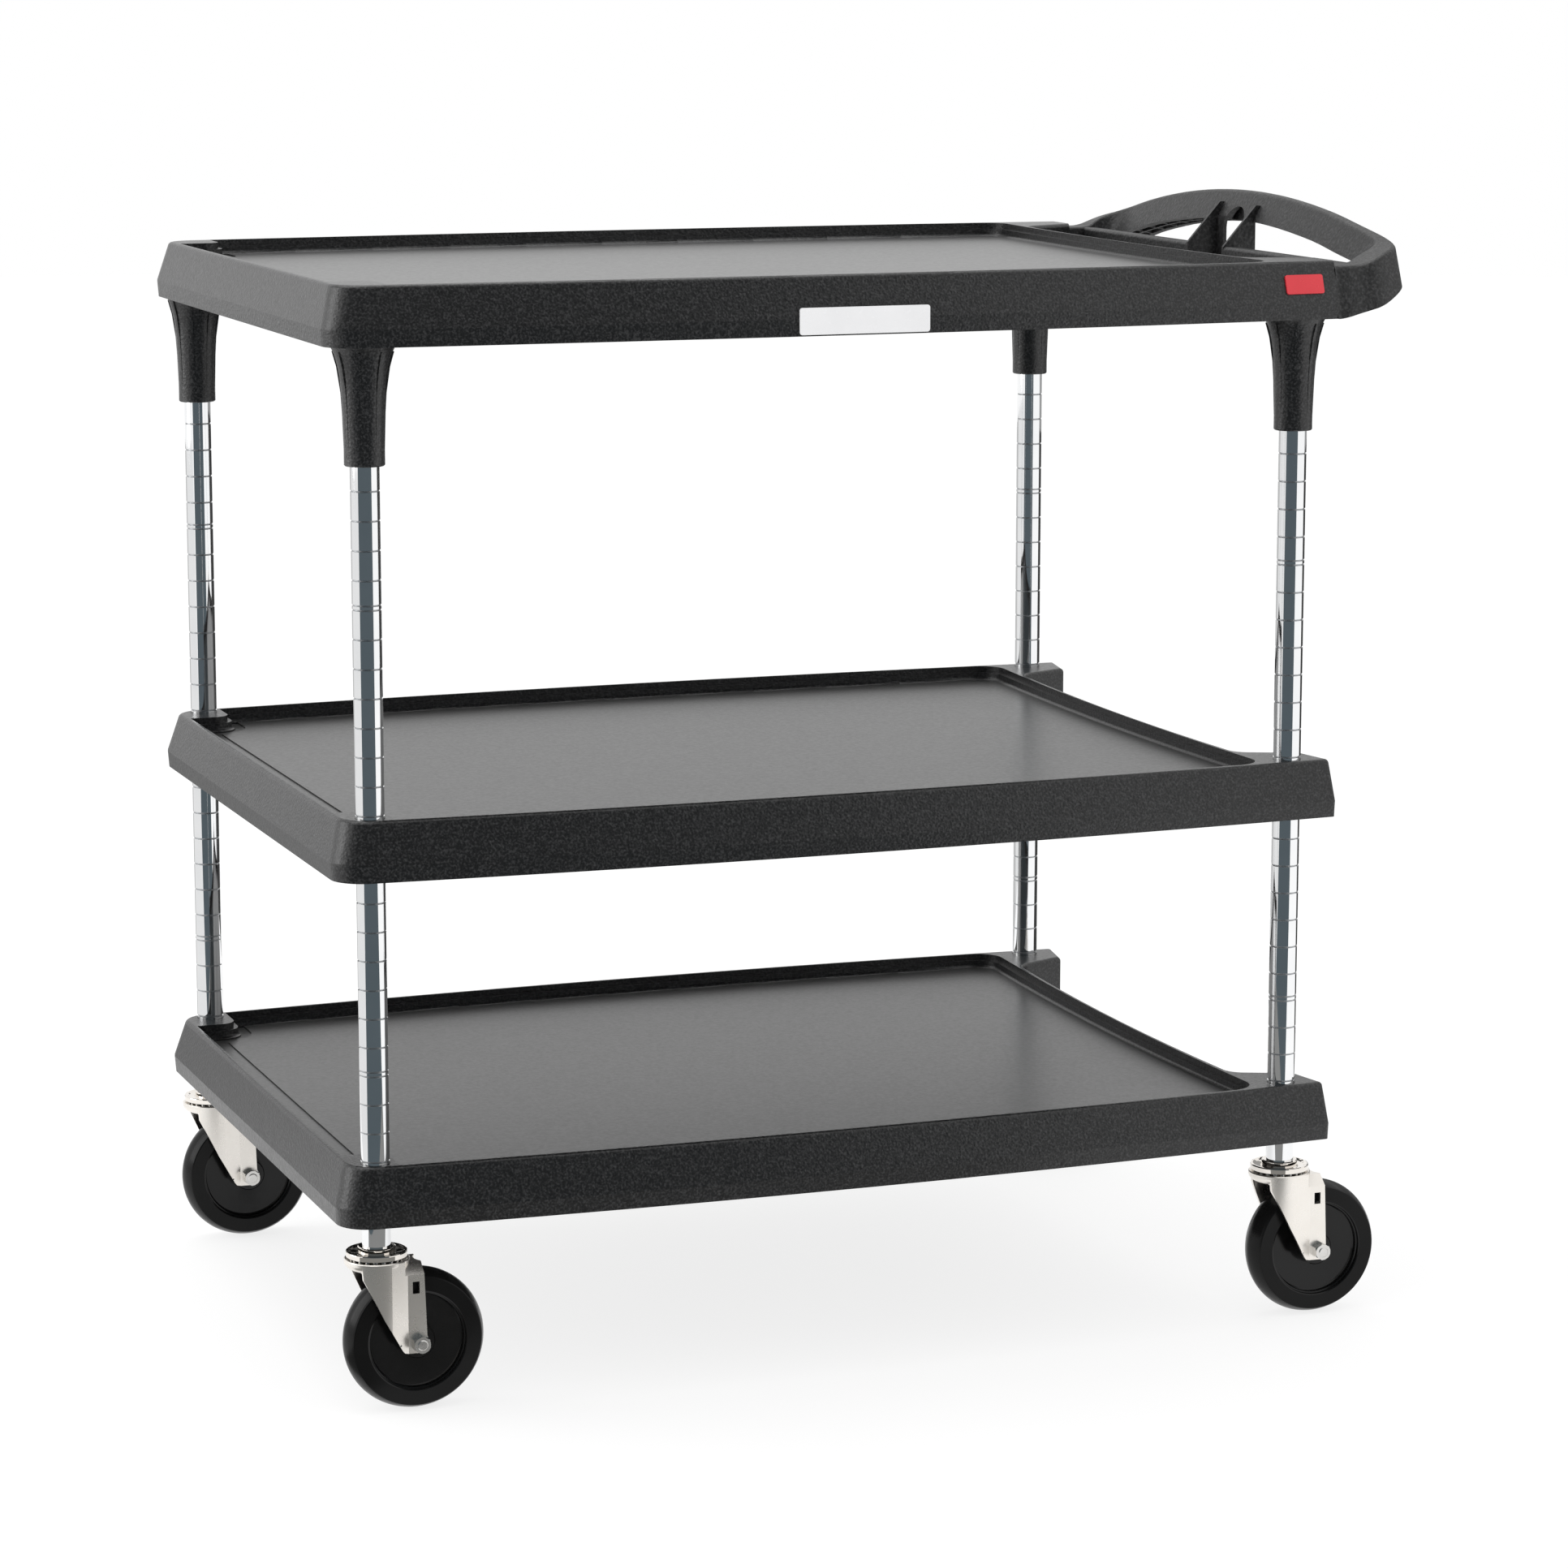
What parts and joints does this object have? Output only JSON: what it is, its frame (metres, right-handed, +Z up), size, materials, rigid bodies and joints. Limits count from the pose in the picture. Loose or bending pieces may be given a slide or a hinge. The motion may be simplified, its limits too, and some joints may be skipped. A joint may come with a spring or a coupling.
{
  "type": "utility cart",
  "caption": "Tray-shelf push cart with grooved round posts, height-adjustable shelves, swivel casters and an arched push handle.",
  "frame": {"origin": "on the floor, in the middle of the overall footprint", "axes": "+X towards the push handle, +Y to the cart's right when pushed from the handle, +Z up"},
  "size_m": [1.0201, 0.6972, 1.0303],
  "materials": {
    "tray_polymer": "fine leather grain",
    "sleeve_polymer": "smooth",
    "chrome_post": "polished plating",
    "caster_plate": "bright nickel plating",
    "zinc_steel": "zinc plated",
    "ball_steel": "polished",
    "bushing_steel": "turned",
    "wheel_tread": "smooth",
    "wheel_core": "moulded",
    "label_white": "printed film, blank",
    "badge_red": "blank plate"
  },
  "bodies": {
    "base": {"bottom_shelf": "tray_polymer", "bottom_sleeves": "sleeve_polymer", "post_caps": "sleeve_polymer", "post_fl": "chrome_post", "caster_cup_fl": "caster_plate", "caster_stem_fl": "zinc_steel", "post_fr": "chrome_post", "caster_cup_fr": "caster_plate", "caster_stem_fr": "zinc_steel", "post_hl": "chrome_post", "caster_cup_hl": "caster_plate", "caster_stem_hl": "zinc_steel", "post_hr": "chrome_post", "caster_cup_hr": "caster_plate", "caster_stem_hr": "zinc_steel"},
    "middle": {"middle_shelf": "tray_polymer", "middle_sleeves": "sleeve_polymer"},
    "top": {"top_shelf": "tray_polymer", "top_sleeves": "sleeve_polymer", "push_handle": "tray_polymer", "handle_screws": "zinc_steel", "label_plate": "label_white", "badge": "badge_red", "leg_socket_fl": "tray_polymer", "leg_socket_fr": "tray_polymer", "leg_socket_hl": "tray_polymer", "leg_socket_hr": "tray_polymer"},
    "swivel_fl": {"caster_fork_fl": "caster_plate", "caster_balls_fl": "ball_steel", "axle_bolt_fl": "zinc_steel", "axle_nut_fl": "zinc_steel"},
    "wheel_fl": {"wheel_tread_fl": "wheel_tread", "wheel_core_fl": "wheel_core", "wheel_bushing_fl": "bushing_steel"},
    "swivel_fr": {"caster_fork_fr": "caster_plate", "caster_balls_fr": "ball_steel", "axle_bolt_fr": "zinc_steel", "axle_nut_fr": "zinc_steel"},
    "wheel_fr": {"wheel_tread_fr": "wheel_tread", "wheel_core_fr": "wheel_core", "wheel_bushing_fr": "bushing_steel"},
    "swivel_hl": {"caster_fork_hl": "caster_plate", "caster_balls_hl": "ball_steel", "axle_bolt_hl": "zinc_steel", "axle_nut_hl": "zinc_steel"},
    "wheel_hl": {"wheel_tread_hl": "wheel_tread", "wheel_core_hl": "wheel_core", "wheel_bushing_hl": "bushing_steel"},
    "swivel_hr": {"caster_fork_hr": "caster_plate", "caster_balls_hr": "ball_steel", "axle_bolt_hr": "zinc_steel", "axle_nut_hr": "zinc_steel"},
    "wheel_hr": {"wheel_tread_hr": "wheel_tread", "wheel_core_hr": "wheel_core", "wheel_bushing_hr": "bushing_steel"}
  },
  "joints": [
    {"name": "top_height", "type": "slide", "parent": "base", "child": "top", "axis": [0, 0, 1], "range_m": [-0.1016, 0]},
    {"name": "middle_height", "type": "slide", "parent": "base", "child": "middle", "axis": [0, 0, 1], "range_m": [-0.1524, 0.1524]},
    {"name": "swivel_fl", "type": "hinge", "parent": "base", "child": "swivel_fl", "pos_m": [-0.4737, -0.3046, 0.1384], "axis": [0, 0, 1], "continuous": true},
    {"name": "spin_fl", "type": "hinge", "parent": "swivel_fl", "child": "wheel_fl", "pos_m": [-0.4417, -0.3046, 0.0635], "axis": [0, 1, 0], "continuous": true},
    {"name": "swivel_fr", "type": "hinge", "parent": "base", "child": "swivel_fr", "pos_m": [-0.4737, 0.3046, 0.1384], "axis": [0, 0, 1], "continuous": true},
    {"name": "spin_fr", "type": "hinge", "parent": "swivel_fr", "child": "wheel_fr", "pos_m": [-0.4417, 0.3046, 0.0635], "axis": [0, 1, 0], "continuous": true},
    {"name": "swivel_hl", "type": "hinge", "parent": "base", "child": "swivel_hl", "pos_m": [0.3977, -0.3046, 0.1384], "axis": [0, 0, 1], "continuous": true},
    {"name": "spin_hl", "type": "hinge", "parent": "swivel_hl", "child": "wheel_hl", "pos_m": [0.4297, -0.3046, 0.0635], "axis": [0, 1, 0], "continuous": true},
    {"name": "swivel_hr", "type": "hinge", "parent": "base", "child": "swivel_hr", "pos_m": [0.3977, 0.3046, 0.1384], "axis": [0, 0, 1], "continuous": true},
    {"name": "spin_hr", "type": "hinge", "parent": "swivel_hr", "child": "wheel_hr", "pos_m": [0.4297, 0.3046, 0.0635], "axis": [0, 1, 0], "continuous": true}
  ]
}
